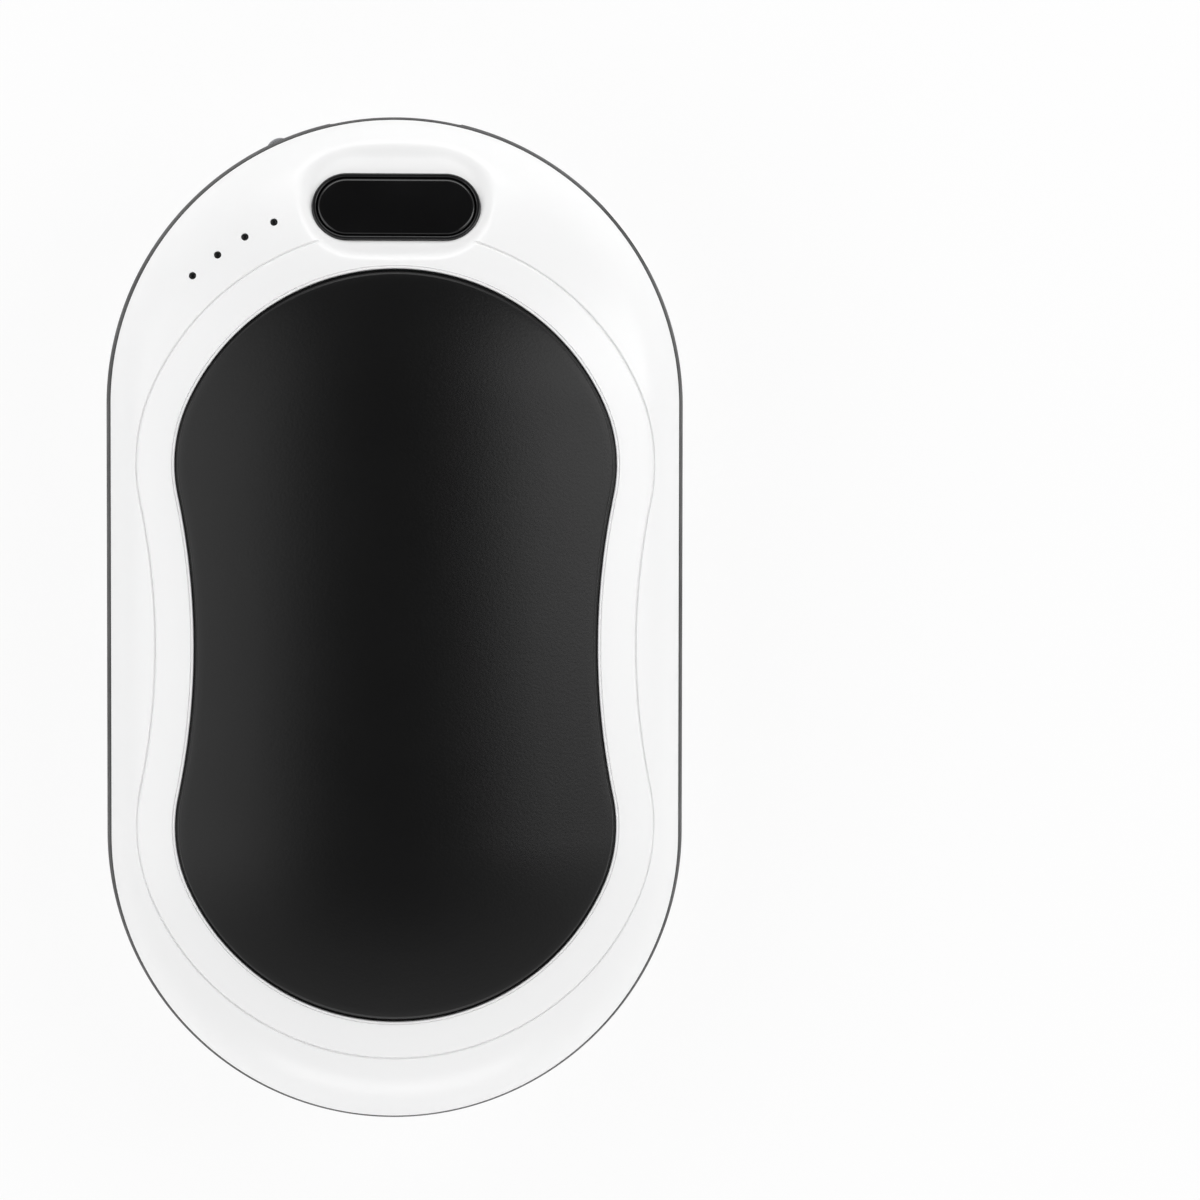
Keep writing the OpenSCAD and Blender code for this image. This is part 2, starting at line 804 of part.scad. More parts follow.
torch_r = torch_d / 2;
torch_rim_w = 0.3;
torch_rim_r = torch_r + torch_rim_w;
torch_rim_t = 1;
torch_rim_in = 1.6;
torch_rim_at = band_in_r - torch_rim_in;
torch_leg_r = 0.25;
torch_leg_x = 0.9;
torch_leg_out = 1.2;
module torch_led() {
    dome_at = band_r + torch_proud - torch_r;
    color([0.85, 0.88, 0.9]) place() on_band(torch_angle) {
        rotate([-90, 0, 0]) rotate_extrude() {
            translate([0, torch_rim_at]) square([torch_r, dome_at - torch_rim_at]);
            translate([0, torch_rim_at]) square([torch_rim_r, torch_rim_t]);
            intersection() {
                translate([0, dome_at]) circle(r = torch_r);
                translate([0, dome_at]) square([torch_r, torch_r]);
            }
        }
        for (s = [-1, 1]) translate([s * torch_leg_x, torch_rim_at - torch_leg_out, 0]) {
            rotate([-90, 0, 0]) cylinder(r = torch_leg_r, h = torch_leg_out + torch_leg_r);
            cylinder(r = torch_leg_r, h = board_z);
        }
    }
}

// Sockets, each drawn with its mouth towards +Y

out_corner = 0.5;
out_recess = 0.75;
out_back = end_y + band_x(out_h / 2) - out_recess - out_depth;
out_base_t = 3.2;
out_tongue_w = 11.1;
out_tongue_t = 1.84;
out_tongue_gap = 0.35;
out_tongue_l = 8.8;
module usb_a_shell() {
    color("silver") place() translate([0, out_back, 0]) rotate([-90, 0, 0]) difference() {
        linear_extrude(out_depth) rounded_rect(out_w, out_h, out_corner);
        translate([0, 0, socket_sheet]) linear_extrude(out_depth)
            rounded_rect(out_w - 2 * socket_sheet, out_h - 2 * socket_sheet, out_corner - socket_sheet / 2);
    }
}

module usb_a_tongue() {
    tongue_top = out_h / 2 - socket_sheet - out_tongue_gap;
    color([0.15, 0.15, 0.16]) place() translate([0, out_back + socket_sheet, 0]) {
        translate([-out_tongue_w / 2, 0, -out_h / 2 + socket_sheet + seat])
            cube([out_tongue_w, out_base_t, out_h - 2 * socket_sheet - 2 * seat]);
        translate([-out_tongue_w / 2, 0, tongue_top - out_tongue_t])
            cube([out_tongue_w, out_base_t + out_tongue_l, out_tongue_t]);
    }
}

out_contact_w = 1;
out_contact_t = 0.2;
out_contact_x = [-3.5, -1, 1, 3.5];
module usb_a_contacts() {
    z = out_h / 2 - socket_sheet - out_tongue_gap - out_tongue_t - out_contact_t;
    color("gold") place() for (x = out_contact_x)
        translate([x - out_contact_w / 2, out_back + socket_sheet + out_base_t, z])
            cube([out_contact_w, out_tongue_l - out_contact_w, out_contact_t]);
}

in_corner = 0.6;
in_recess = 0.5;
in_z = board_z - slip - in_h / 2;
in_back = band_x(in_z + in_h / 2) - in_recess - in_depth;
in_base_t = 1.4;
in_tongue_w = 5.2;
in_tongue_t = 0.6;
in_tongue_l = 2.6;
module on_in_port() {
    on_band(in_angle - 90) translate([0, in_back, in_z]) children();
}

module micro_usb_shell() {
    color("silver") place() on_in_port() rotate([-90, 0, 0]) difference() {
        linear_extrude(in_depth) rounded_rect(in_w, in_h, in_corner);
        translate([0, 0, socket_sheet]) linear_extrude(in_depth)
            rounded_rect(in_w - 2 * socket_sheet, in_h - 2 * socket_sheet, in_corner - socket_sheet);
    }
}

module micro_usb_tongue() {
    color([0.15, 0.15, 0.16]) place() on_in_port() translate([0, socket_sheet, 0]) {
        translate([-in_tongue_w / 2, 0, -in_h / 2 + socket_sheet + seat])
            cube([in_tongue_w, in_base_t, in_h - 2 * socket_sheet - 2 * seat]);
        translate([-in_tongue_w / 2, 0, -in_tongue_t / 2])
            cube([in_tongue_w, in_base_t + in_tongue_l, in_tongue_t]);
    }
}

in_contact_pitch = 0.65;
in_contact_w = 0.3;
in_contact_t = 0.1;
module micro_usb_contacts() {
    color("gold") place() on_in_port() for (i = [-2:2])
        translate([i * in_contact_pitch - in_contact_w / 2, socket_sheet + in_base_t,
            -in_tongue_t / 2 - in_contact_t])
            cube([in_contact_w, in_tongue_l - in_contact_w, in_contact_t]);
}

// Fasteners

module case_screws() {
    socket_r = 0.8;
    socket_d = 0.6;
    color("dimgray") place() for (p = screw_places) translate([p[0], p[1], head_seat_z]) {
        cylinder(r = core_r, h = screw_l);
        difference() {
            translate([0, 0, -head_t]) cylinder(r = head_r, h = head_t);
            for (a = [0, 90]) rotate([0, 0, a]) translate([0, 0, -head_t])
                cube([2 * socket_r, socket_d / 2, 2 * socket_d], center = true);
        }
    }
}

front_shell();
back_shell();
middle_band();
front_heat_plate();
back_heat_plate();
front_heating_film();
back_heating_film();
front_foam_pad();
back_foam_pad();
battery_cradle();
battery_cell_left();
battery_cell_right();
cell_strip_top();
cell_strip_bottom();
battery_leads();
heater_leads();
heater_thermistor();
circuit_board();
control_chips();
boost_inductor();
switch_body();
switch_plunger();
power_button();
button_surround();
indicator_leds();
indicator_light_guide();
torch_led();
usb_a_shell();
usb_a_tongue();
usb_a_contacts();
micro_usb_shell();
micro_usb_tongue();
micro_usb_contacts();
case_screws();
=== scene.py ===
import json
import math

import bmesh
import bpy
import numpy as np
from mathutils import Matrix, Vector

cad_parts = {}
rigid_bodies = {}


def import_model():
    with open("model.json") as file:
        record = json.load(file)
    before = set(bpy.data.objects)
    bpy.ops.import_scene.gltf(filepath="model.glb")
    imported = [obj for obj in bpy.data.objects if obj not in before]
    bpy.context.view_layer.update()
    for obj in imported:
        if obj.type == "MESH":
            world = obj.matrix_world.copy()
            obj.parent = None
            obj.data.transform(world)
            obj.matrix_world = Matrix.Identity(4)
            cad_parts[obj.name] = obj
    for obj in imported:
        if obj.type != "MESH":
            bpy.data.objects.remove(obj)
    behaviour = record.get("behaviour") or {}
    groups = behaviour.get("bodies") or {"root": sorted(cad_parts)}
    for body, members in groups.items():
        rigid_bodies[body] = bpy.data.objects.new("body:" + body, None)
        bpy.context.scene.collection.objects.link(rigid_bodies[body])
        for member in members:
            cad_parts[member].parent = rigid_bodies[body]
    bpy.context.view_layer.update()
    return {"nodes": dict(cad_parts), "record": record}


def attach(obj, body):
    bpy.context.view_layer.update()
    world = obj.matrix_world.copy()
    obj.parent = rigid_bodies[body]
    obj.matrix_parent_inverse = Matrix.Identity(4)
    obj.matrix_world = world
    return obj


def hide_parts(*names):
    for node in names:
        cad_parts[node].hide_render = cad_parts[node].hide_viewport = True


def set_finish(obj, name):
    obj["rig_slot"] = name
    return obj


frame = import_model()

MM = 0.001

# Sizes in mm, in the mid plane's frame: origin in the middle of the stadium, Z out of the front.
# Names and values are the CAD source's, but the crease is a little wider and deeper here.
body_l, body_w, body_t = 102.0, 58.6, 30.9
shoulder_r, wall_lean, shell_wall, rest_flat = 9.0, math.radians(16.8), 1.8, 0.12
band_h, band_proud, band_wall = 9.0, 0.65, 1.75
plate_l, plate_w, waist_in, plate_corner_r, widest_in = 73.9, 43.1, 1.9, 14.1, 18.9
plate_t, plate_proud, plate_gap, ledge_w, plate_y = 1.0, 0.45, 0.4, 4.6, -2.35
crease_out, crease_w, crease_d = 3.85, 0.38, 0.2
tongue_t, tongue_d, tongue_up = 1.1, 1.2, 1.0
boss_r, boss_joint_d, screw_x, screw_in = 2.0, 2.0, 4.8, 1.7
button_l, button_w, button_in, button_sink = 16.7, 6.9, 9.65, 1.24
button_tilt = math.radians(14.5)
surround_wall, surround_top_d, surround_foot_d, cap_gap, cap_wall = 0.4, 0.1, 1.7, 0.1, 0.9
flange_top_d, flange_t, flange_out = 2.35, 0.6, 0.3
dish_margin, dish_up, floor_d = 0.35, 1.8, 0.45
switch_h, plunger_h, switch_gap, stem_r = 2.2, 0.9, 0.08, 1.4
light_count, light_r, light_gap = 4, 0.33, 0.04
light_out, light_first, light_step = 7.6, 12.45, 3.23
torch_r, torch_proud, torch_angle = 1.5, 0.35, math.radians(24.5)
torch_rim_w, torch_rim_t, torch_rim_in = 0.3, 1.0, 1.6
torch_leg_r, torch_leg_x, torch_leg_out = 0.25, 0.9, 1.2
out_w, out_h, out_corner = 13.1, 5.7, 0.5
in_w, in_h, in_corner, in_angle = 7.4, 2.4, 0.6, math.radians(36)
port_gap, slip, seat, board_gap, board_t = 0.12, 0.15, 0.05, 0.2, 1.2
led_h, comb_w, comb_t = 0.6, 1.6, 1.0

# Sizes that only the skins have
lip_r = 0.12
line_out, line_half, line_d = 0.26, 0.08, 0.12
plate_out, plate_edge_r, plate_edge_d = 0.1, 0.3, 0.34
cap_crown, cap_edge_r = 0.07, 0.34
boss_bore_r, boss_top, boss_joint_gap = 0.9, 11.0, 0.02
comb_over = 0.044


def axis_centre(kx, ky, kr, top):
    """Height of the centre, on the axis, of the arc through top that touches the circle of
    radius kr round (kx, ky) from outside."""
    return (kx * kx + ky * ky - (top - kr) ** 2) / (2 * (ky - (top - kr)))


end_y = (body_l - body_w) / 2
band_r = body_w / 2
edge_r = band_r - band_proud
top_z = body_t / 2
half_band = band_h / 2
shoulder_x = edge_r - shoulder_r * math.cos(wall_lean)
shoulder_z = half_band - shoulder_r * math.sin(wall_lean)
crown_cz = axis_centre(shoulder_x, shoulder_z, shoulder_r, top_z)
crown_r = top_z - crown_cz
shoulder_from = shoulder_x * crown_r / (crown_r - shoulder_r)
band_arc_r = (half_band ** 2 + band_proud ** 2) / (2 * band_proud)
band_arc_x = band_r - band_arc_r
band_in_r = edge_r - band_wall
board_z = out_h / 2 + board_gap
board_top = board_z + board_t


def band_x(z):
    return band_arc_x + math.sqrt(band_arc_r ** 2 - z * z)


# The part's frame: the output socket's cut makes the band's top end shorter, and the rest patch
# takes a little off the back plate's crown
length_lost = band_r - band_x(out_h / 2 + port_gap)
place = np.array([0.0, length_lost / 2, top_z - rest_flat])


def crown_z(r, o=0.0):
    """Height of the front shell's face, moved out by o, at the distance r."""
    r = np.asarray(r, float)
    split = shoulder_from * (crown_r + o) / crown_r
    on_crown = crown_cz + np.sqrt((crown_r + o) ** 2 - np.minimum(r, split) ** 2)
    out = np.clip(r - shoulder_x, 0, shoulder_r + o)
    on_shoulder = shoulder_z + np.sqrt((shoulder_r + o) ** 2 - out ** 2)
    return np.where(r < split, on_crown, on_shoulder)


def shoulder_at(z, r=shoulder_r):
    """Distance at which a shoulder of radius r has the height z."""
    return shoulder_x + math.sqrt(r ** 2 - (z - shoulder_z) ** 2)


def axis_r(x, y):
    """Distance of a place from the stadium's middle line."""
    return np.hypot(x, np.maximum(np.abs(y) - end_y, 0))


plate_sag = top_z - float(crown_z(plate_w / 2)) - plate_proud
plate_crown_r = (plate_w ** 2 / 4 + plate_sag ** 2) / (2 * plate_sag)
plate_cz = top_z - plate_crown_r
corner_x, corner_y = plate_w / 2 - plate_corner_r, plate_l / 2 - widest_in
plate_end_y = axis_centre(corner_x, corner_y, plate_corner_r, plate_l / 2)
plate_end_r = plate_l / 2 - plate_end_y
waist_r = (corner_y ** 2 + (plate_corner_r - waist_in) ** 2 - plate_corner_r ** 2) / (2 * waist_in)
waist_x = plate_w / 2 - waist_in + waist_r


def plate_z(r, o=0.0):
    """Height of the front plate's face, moved out by o, at the distance r."""
    return plate_cz + np.sqrt((plate_crown_r + o) ** 2 - np.asarray(r, float) ** 2)


# Mesh helpers. A part is a pair of points and faces. A form drawn elsewhere is put in the mid
# plane's frame by at, a pair of a matrix and an offset.

def moved(x, y):
    return np.eye(3), np.array([x, y, 0])


def put(points, at):
    return points @ at[0].T + at[1]


def smooth(ob, angle):
    ob.data.shade_smooth()
    ob.data.set_sharp_from_angle(angle=math.radians(angle))


def new_object(name, part, body, nodes=(), slot=None, angle=30.0, at=None):
    """A closed mesh from a part, with edges sharp over the angle."""
    points, faces = part
    if at is not None:
        points = put(points, at)
    mesh = bpy.data.meshes.new(name)
    mesh.from_pydata(((points + place) * MM).tolist(), [], faces)
    mesh.validate()
    bm = bmesh.new()
    bm.from_mesh(mesh)
    bmesh.ops.remove_doubles(bm, verts=bm.verts, dist=1e-6)
    bmesh.ops.dissolve_degenerate(bm, edges=bm.edges, dist=1e-7)
    bmesh.ops.recalc_face_normals(bm, faces=bm.faces)
    bm.to_mesh(mesh)
    bm.free()
    ob = bpy.data.objects.new(name, mesh)
    bpy.context.scene.collection.objects.link(ob)
    smooth(ob, angle)
    if body:
        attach(ob, body)
    if nodes:
        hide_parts(*nodes)
    if slot:
        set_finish(ob, slot)
    return ob


def join_parts(parts):
    points, faces, base = [], [], 0
    for p, f in parts:
        points.append(p)
        faces += [tuple(i + base for i in face) for face in f]
        base += len(p)
    return np.vstack(points), faces


def cut(ob, parts, angle=30.0, at=None):
    """Takes closed forms out of a piece."""
    tool = new_object("cutter", join_parts(parts), None, at=at)
    mod = ob.modifiers.new("cut", "BOOLEAN")
    mod.operation, mod.object, mod.solver = "DIFFERENCE", tool, "EXACT"
    deps = bpy.context.evaluated_depsgraph_get()
    done = bpy.data.meshes.new_from_object(ob.evaluated_get(deps))
    ob.modifiers.clear()
    old, ob.data = ob.data, done
    bpy.data.meshes.remove(old)
    bpy.data.objects.remove(tool)
    smooth(ob, angle)


def level(outline, z):
    """An outline as a loop at the height z."""
    return np.column_stack([outline, np.full(len(outline), z)])


def loops_part(loops, closed=True):
    """Loops of as many points each, with quads between; closed joins the last to the first."""
    rows, cols = len(loops), len(loops[0])
    faces = []
    for i in range(rows if closed else rows - 1):
        a, b = i * cols, (i + 1) % rows * cols
        for j in range(cols):
            k = (j + 1) % cols
            faces.append((a + j, a + k, b + k, b + j))
    return np.vstack(loops), faces


def capped_part(loops):
    """Loops with a face over the first and one over the last."""
    points, faces = loops_part(loops, False)
    cols = len(loops[0])
    faces.append(tuple(reversed(range(cols))))
    faces.append(tuple(range(len(points) - cols, len(points))))
    return points, faces


def circle(r, count):
    a = np.linspace(0, 2 * math.pi, count, endpoint=False)
    return np.stack([r * np.cos(a), r * np.sin(a)], 1)


def lathe_part(profile, count, at=None):
    """A closed turned form from (radius, height) pairs."""
    points, faces = capped_part([level(circle(r, count), z) for r, z in profile])
    return (points if at is None else put(points, at)), faces


def prism_part(outline, z0, z1):
    return capped_part([level(outline, z0), level(outline, z1)])


# Outlines

def arc(cx, cy, r, a0, a1, n):
    """Points and outward normals of an arc, without its end."""
    a = np.linspace(a0, a1, n, endpoint=False)
    normals = np.stack([np.cos(a), np.sin(a)], 1)
    return np.stack([cx + r * np.cos(a), cy + r * np.sin(a)], 1), normals


def hourglass(n_waist, n_corner, n_top, n_bottom):
    """Points and outward normals round the plate's outline, counterclockwise."""
    to_end = math.atan2(corner_y - plate_end_y, corner_x)
    to_waist = math.atan2(corner_y, waist_x - corner_x)
    flip_x, flip_y = np.array([-1, 1]), np.array([1, -1])

    def quadrant(n_end):
        p1, n1 = arc(waist_x, 0, waist_r, math.pi, math.pi - to_waist, n_waist)
        p2, n2 = arc(corner_x, corner_y, plate_corner_r, -to_waist, to_end, n_corner)
        p3, n3 = arc(0, plate_end_y, plate_end_r, to_end, math.pi / 2, n_end)
        tip = np.array([[0, plate_l / 2]])
        return np.vstack([p1, p2, p3, tip]), np.vstack([-n1, n2, n3, [[0, 1]]])

    def all_round(top, low):
        return np.vstack([top[:-1], top[:0:-1] * flip_x,
                          low[:-1] * flip_x * flip_y, low[:0:-1] * flip_y])

    top, top_n = quadrant(n_top)
    low, low_n = quadrant(n_bottom)
    return all_round(top, low) + [0, plate_y], all_round(top_n, low_n)


def stadium(r, n_arc=120, n_side=24):
    """A loop at the distance r round the stadium's middle line."""
    a = np.linspace(0, math.pi, n_arc, endpoint=False)
    top = np.stack([r * np.cos(a), end_y + r * np.sin(a)], 1)
    left_y = np.linspace(end_y, -end_y, n_side, endpoint=False)
    left = np.stack([np.full(n_side, -r), left_y], 1)
    return np.vstack([top, left, -top, -left])


def pill(length, width):
    """A stadium with its length along X; a width of nearly nothing gives its middle line."""
    n_end, n_side = 48, 24
    r, h = width / 2, (length - width) / 2
    a = np.linspace(-math.pi / 2, math.pi / 2, n_end, endpoint=False)
    right = np.stack([h + r * np.cos(a), r * np.sin(a)], 1)
    top = np.stack([np.linspace(h, -h, n_side, endpoint=False), np.full(n_side, r)], 1)
    return np.vstack([right, top, -right, -top])


def rounded_rect(w, h, r):
    points = []
    for sx, sy, a0 in ((1, 1, 0), (-1, 1, 90), (-1, -1, 180), (1, -1, 270)):
        cx, cy = sx * (w / 2 - r), sy * (h / 2 - r)
        for a in np.radians(np.linspace(a0, a0 + 90, 8)):
            points.append((cx + r * math.cos(a), cy + r * math.sin(a)))
    return points


# The button's own frame, and the dish round it, whose sides rise at 45 degrees

button_y = body_l / 2 - button_in
button_z = float(crown_z(band_r - button_in)) - button_sink
sin_t, cos_t = math.sin(button_tilt), math.cos(button_tilt)
on_button = (np.array([[1, 0, 0], [0, cos_t, sin_t], [0, -sin_t, cos_t]]),
             np.array([0, button_y, button_z]))
cap_l = button_l - 2 * (surround_wall + cap_gap)
cap_w = button_w - 2 * (surround_wall + cap_gap)
dish_l, dish_w = button_l + 2 * dish_margin, button_w + 2 * dish_margin + dish_up
dish_foot_blend = 0.5


def smooth_min(a, b, k):
    h = np.maximum(k - np.abs(a - b), 0) / k
    return np.minimum(a, b) - h * h * k / 4


def dish_z(x, y):
    """Height of the dish over a place, and how far up the tilted floor that is."""
    z = np.full(np.shape(x), button_z)
    for _ in range(16):
        up = (y - button_y) * cos_t - (z - button_z) * sin_t
        far = np.maximum(np.abs(x) - (dish_l - dish_w) / 2, 0)
        out = np.hypot(far, up - dish_up / 2) - dish_w / 2
        rise = -smooth_min(np.zeros_like(out), -out, dish_foot_blend)
        z = button_z + (rise - floor_d - (y - button_y) * sin_t) / cos_t
    return z, up


def dish_edge_blend(up):
    """How softly the dish's edge runs out: 0.5 mm below the button, 1.8 mm above it."""
    t = np.clip((up + 1) / 5, 0, 1)
    return 0.5 + 1.3 * t * t * (3 - 2 * t)


# Shells

def reach(p, n, r):
    """How far along each normal the stadium of radius r lies."""
    low, high = np.full(len(p), -12.0), np.full(len(p), 40.0)
    for _ in range(60):
        mid = (low + high) / 2
        q = p + n * mid[:, None]
        inside = axis_r(q[:, 0], q[:, 1]) < r
        low, high = np.where(inside, mid, low), np.where(inside, high, mid)
    return (low + high) / 2


def groove(off):
    """Share of a groove's depth at a distance off from its middle, in half widths."""
    return np.where(off < 1, np.cos(np.minimum(off, 1) * math.pi / 2) ** 2, 0)


def shell_loops(front):
    """Loops round the shell's section: lip, outer face, rim, inner face and the plate's ledge."""
    if front:
        counts, plain_step, outer_rows, inner_rows = (32, 40, 130, 60), 0.2, 64, 30
    else:
        counts, plain_step, outer_rows, inner_rows = (32, 40, 60, 60), 0.4, 30, 14
    p, n = hourglass(*counts)
    loops = []

    def place_of(o):
        q = p + n * (np.asarray(o)[:, None] if np.ndim(o) else o)
        return q[:, 0], q[:, 1]

    def add(x, y, z):
        loops.append(np.stack([x, y, np.broadcast_to(z, x.shape)], 1))

    def outer_face(o):
        x, y = place_of(o)
        z = crown_z(axis_r(x, y))
        z = z - crease_d * groove(np.abs(o - plate_gap - crease_out) / (crease_w / 2))
        z = z - line_d * groove(np.abs(o - plate_gap - line_out) / line_half)
        if front:
            dish, up = dish_z(x, y)
            z = smooth_min(z, dish, dish_edge_blend(up))
        return x, y, z

    def ring(r, z):
        add(*place_of(reach(p, n, r)), z)

    for a in np.radians([0, 22, 45, 67, 90]):
        x, y, z = outer_face(plate_gap + lip_r * (1 - math.cos(a)))
        add(x, y, z - lip_r * (1 - math.sin(a)))
    # Rows stand closer together across the line and the crease
    crease = plate_gap + crease_out
    across_line = np.array([-0.08, -0.05, -0.025, 0, 0.025, 0.05, 0.08])
    steps = list(plate_gap + (line_out + across_line))
    steps += list(np.arange(0.85, crease - 0.3, plain_step))
    steps += list(crease + np.linspace(-0.24, 0.24, 17))
    for o in steps:
        add(*outer_face(o))
    start = crease + 0.32
    end = reach(p, n, shoulder_at(half_band + 0.12))
    for q in 1 - (1 - np.linspace(0, 1, outer_rows)) ** 1.5:
        add(*outer_face(start + (end - start) * q))

    ring(edge_r - 0.02, half_band + 0.05)
    ring(edge_r - 0.12, half_band)
    in_edge = shoulder_at(half_band, shoulder_r - shell_wall)
    ring(in_edge, half_band)
    inner = reach(p, n, in_edge)
    for q in np.linspace(0, 1, inner_rows)[1:]:
        x, y = place_of(inner + (-ledge_w - inner) * (1 - (1 - q) ** 1.6))
        z = crown_z(axis_r(x, y), -shell_wall)
        if front:
            z = np.minimum(z, dish_z(x, y)[0] - shell_wall / cos_t)
        add(x, y, z)
    for o in (-ledge_w, -ledge_w / 2, plate_gap):
        x, y = place_of(o)
        add(x, y, plate_z(axis_r(x, y), -plate_t))
    return loops


def boss_parts(z0, z1):
    """The four screw bosses as tubes between two heights."""
    screw_y = plate_end_y + math.sqrt((plate_end_r - screw_in) ** 2 - screw_x ** 2)
    section = ((boss_r, z0), (boss_r, z1), (boss_bore_r, z1), (boss_bore_r, z0))
    return [loops_part([level(circle(r, 40) + [sx * screw_x, plate_y + sy * screw_y], z)
                        for r, z in section]) for sx in (-1, 1) for sy in (-1, 1)]


light_ring_r = plate_end_r + light_out
light_ring_y = plate_y + plate_end_y
light_turns = [(light_first + i * light_step) / light_ring_r for i in range(light_count)]
light_places = [(-light_ring_r * math.sin(a), light_ring_y + light_ring_r * math.cos(a))
                for a in light_turns]

shell_angle = 28
front_shell = new_object("front_shell_skin", loops_part(shell_loops(True)), "housing",
                         ["front_shell"], "shell_white", shell_angle)
surround_hole = pill(button_l + 2 * seat, button_w + 2 * seat)
cut(front_shell, [prism_part(surround_hole, -6, 6)], shell_angle, on_button)
light_hole = [(light_r + light_gap, z) for z in (4, 20)]
cut(front_shell, [lathe_part(light_hole, 32, moved(x, y)) for x, y in light_places], shell_angle)

flip = np.array([1, 1, -1])
new_object("back_shell_skin", loops_part([loop * flip for loop in shell_loops(False)]), "housing",
           ["back_shell"], "shell_white", shell_angle)

# Inside the shells: a tongue that locates each in the band, and the bosses. The board passes
# through the front ones.
tongue_out, tongue_in = band_in_r - slip, band_in_r - slip - tongue_t
tongue_low, tongue_top = half_band - tongue_d, half_band + tongue_up
tongue = [level(stadium(r), z) for r, z in ((tongue_out, tongue_low), (tongue_out, tongue_top),
                                            (tongue_in, tongue_top), (tongue_in, tongue_low))]
front_bosses = boss_parts(-boss_joint_d, boss_top)
front_ribs = new_object("front_shell_ribs", join_parts([loops_part(tongue)] + front_bosses),
                        "housing", ["front_shell"], "shell_white")
board_room = rounded_rect(54, 24, 1)
cut(front_ribs, [prism_part(board_room, board_z - 0.2, board_top + 0.1)], at=moved(0, 42.5))
back_bosses = boss_parts(-boss_top, -boss_joint_d - boss_joint_gap)
back_tongue = loops_part([loop * flip for loop in tongue])
new_object("back_shell_ribs", join_parts([back_tongue] + back_bosses), "housing",
           ["back_shell"], "shell_white")


# Heat plates

def plate_skin(name, node, side):
    """A plate with a rounded edge over a flange; the back one, side -1, has the rest patch."""
    p, n = hourglass(48, 48, 90, 90)
    flat_z = top_z - rest_flat if side < 0 else math.inf
    flange, inmost = plate_gap - seat, -6
    loops = []

    def add(o, depth, drop=0.0, share=0.0):
        """A loop o outside the outline, drawn in by a share towards the plate's middle line."""
        w = p + n * o
        if share:
            w = w * [1 - share, 1]
            w[:, 1] = plate_y + (w[:, 1] - plate_y) * (1 - 0.45 * share)
        z = plate_z(axis_r(w[:, 0], w[:, 1]), -depth) - drop
        if depth == 0:
            z = np.minimum(z, flat_z)
        loops.append(np.column_stack([w, z]))

    shares = np.linspace(1, 0, 16)[:-1]
    for share in shares:
        add(inmost, plate_t, 0, share)
    for o in (inmost, -3, -1, 0, flange):
        add(o, plate_t)
    add(flange, plate_t - plate_edge_d)
    add(plate_out, plate_t - plate_edge_d)
    for a in np.radians([0, 18, 36, 54, 72, 90]):
        add(plate_out - plate_edge_r * (1 - math.cos(a)), 0, plate_edge_r * (1 - math.sin(a)))
    for o in (-0.8, -1.5, -2.5, -4, inmost):
        add(o, 0)
    for share in shares[::-1]:
        add(inmost, 0, 0, share)
    part = loops_part([loop * [1, 1, side] for loop in loops], False)
    new_object(name, part, "housing", [node], "plate_dark", 35)


plate_skin("front_heat_plate_skin", "front_heat_plate", 1)
plate_skin("back_heat_plate_skin", "back_heat_plate", -1)

# Band
rim = [(band_in_r, half_band), (edge_r - 0.12, half_band), (edge_r - 0.02, half_band - 0.04)]
face_top = half_band - 0.12
band_profile = [(r, -z) for r, z in rim]
band_profile += [(band_x(z), z) for z in np.linspace(-face_top, face_top, 29)]
band_profile += rim[::-1] + [(band_in_r, z) for z in (2.0, 0.0, -2.0)]
band = new_object("middle_band_skin",
                  loops_part([level(stadium(r, 180, 20), z) for r, z in band_profile]),
                  "housing", ["middle_band"], "band_black")


def turned(a):
    """A frame on the end arc's axis: Y out through the band at the angle a from +Y."""
    c, s = math.cos(a), math.sin(a)
    return np.array([[c, -s, 0], [s, c, 0], [0, 0, 1]]), np.array([0, end_y, 0])


def along_y(part, z=0.0):
    """Stands a form drawn along Z out along Y."""
    p, f = part
    return np.column_stack([p[:, 0], p[:, 2], z + p[:, 1]]), f


through_band = 20, 40
in_z = board_z - slip - in_h / 2
for w, h, corner, z, angle in ((out_w, out_h, out_corner, 0.0, 0),
                               (in_w, in_h, in_corner, in_z, in_angle - math.pi / 2)):
    opening = rounded_rect(w + 2 * port_gap, h + 2 * port_gap, corner + port_gap)
    cut(band, [along_y(prism_part(opening, *through_band), z)], at=turned(angle))
torch_hole_r = torch_r + slip / 2
cut(band, [along_y(lathe_part([(torch_hole_r, z) for z in through_band], 64))],
    at=turned(torch_angle))


# Button, its surround and the lights

def pill_loops(steps, length, width):
    """Loops from (inset, height) pairs; an inset of half the width lies on the middle line."""
    loops = []
    for inset, z in steps:
        inset = min(inset, width / 2 - 1e-5)
        loops.append(level(pill(length - 2 * inset, width - 2 * inset), z))
    return loops


cap_half = cap_w / 2
flange_inset, flange_foot = -(flange_out + cap_gap), -(flange_top_d + flange_t)
steps = []
for q in np.linspace(0, 1, 14)[:-1]:
    steps.append((cap_half - (cap_half - cap_edge_r) * q, -cap_crown * q * q))
for a in np.radians([90, 75, 60, 45, 30, 15, 0]):
    steps.append((cap_edge_r * (1 - math.cos(a)), -cap_crown - cap_edge_r * (1 - math.sin(a))))
steps += [(0, -1.2), (0, -flange_top_d), (flange_inset, -flange_top_d), (flange_inset, flange_foot),
          (cap_wall, flange_foot), (cap_wall, -cap_wall), (cap_half, -cap_wall)]
cap = loops_part(pill_loops(steps, cap_l, cap_w), False)

